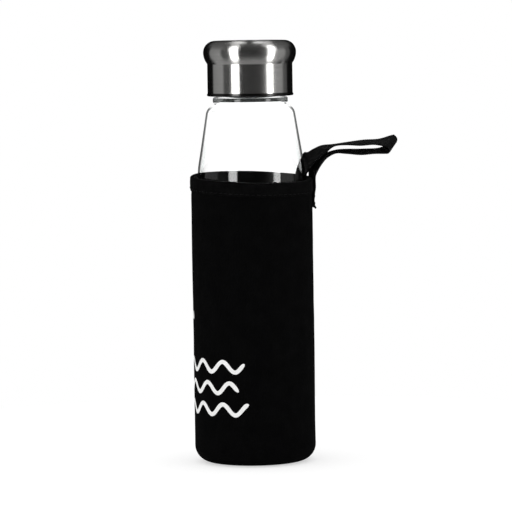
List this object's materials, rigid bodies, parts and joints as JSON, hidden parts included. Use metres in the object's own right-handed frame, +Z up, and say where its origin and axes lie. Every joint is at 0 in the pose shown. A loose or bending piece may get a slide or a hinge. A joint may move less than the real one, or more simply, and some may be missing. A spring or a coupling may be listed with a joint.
{
  "type": "glass water bottle",
  "caption": "Glass water bottle with a tapered shoulder, a bulged brushed steel screw cap, and a black neoprene sleeve with a webbing wrist loop.",
  "frame": {"origin": "centre of the sleeve's flat underside, on the bottle's axis, where the bottle stands", "axes": "+Z up the bottle's axis towards the cap; +X towards the side where the wrist loop leaves the sleeve; -Y is the side seen in the usual front view"},
  "size_m": [0.1132, 0.0674, 0.2279],
  "materials": {
    "glass": "clear, polished",
    "silicone": "matt, slightly milky",
    "liner_plastic": "moulded polypropylene",
    "cap_steel": "satin, brushed round the cap",
    "neoprene": "neoprene faced with fine black knit",
    "binding_tape": "black stretch tape",
    "webbing": "black woven webbing",
    "sewing_thread": "black polyester thread",
    "print_ink": "white print"
  },
  "bodies": {
    "sleeve": {"sleeve_wall": "neoprene", "sleeve_base": "neoprene", "rim_binding": "binding_tape", "strap_inner_end": "webbing", "strap_outer_end": "webbing", "rim_stitches": "sewing_thread", "side_seam_stitches": "sewing_thread", "base_seam_stitches": "sewing_thread", "strap_tack_stitches": "sewing_thread", "printed_motif": "print_ink"},
    "bottle": {"glass_bottle": "glass"},
    "seal": {"cap_seal": "silicone"},
    "cap": {"cap_liner": "liner_plastic", "cap_shell": "cap_steel"},
    "strap": {"strap_loop": "webbing"}
  },
  "joints": [
    {"name": "bottle_slide", "type": "slide", "parent": "sleeve", "child": "bottle", "axis": [0, 0, 1], "range_m": [0, 0.16]},
    {"name": "cap_lift", "type": "slide", "parent": "bottle", "child": "seal", "axis": [0, 0, 1], "range_m": [0, 0.0212]},
    {"name": "cap_turn", "type": "hinge", "parent": "seal", "child": "cap", "pos_m": [0, 0, 0.2065], "axis": [0, 0, 1], "range_deg": [0, 1800]},
    {"name": "strap_swing", "type": "hinge", "parent": "sleeve", "child": "strap", "pos_m": [0.037, 0.0064, 0.1646], "axis": [0, -1, 0], "range_deg": [-60, 60], "stiffness_Nm_per_rad": 0.02}
  ],
  "couplings": [
    {"joint": "cap_lift", "follows": "cap_turn", "m_per_rad": 0.00066845}
  ]
}
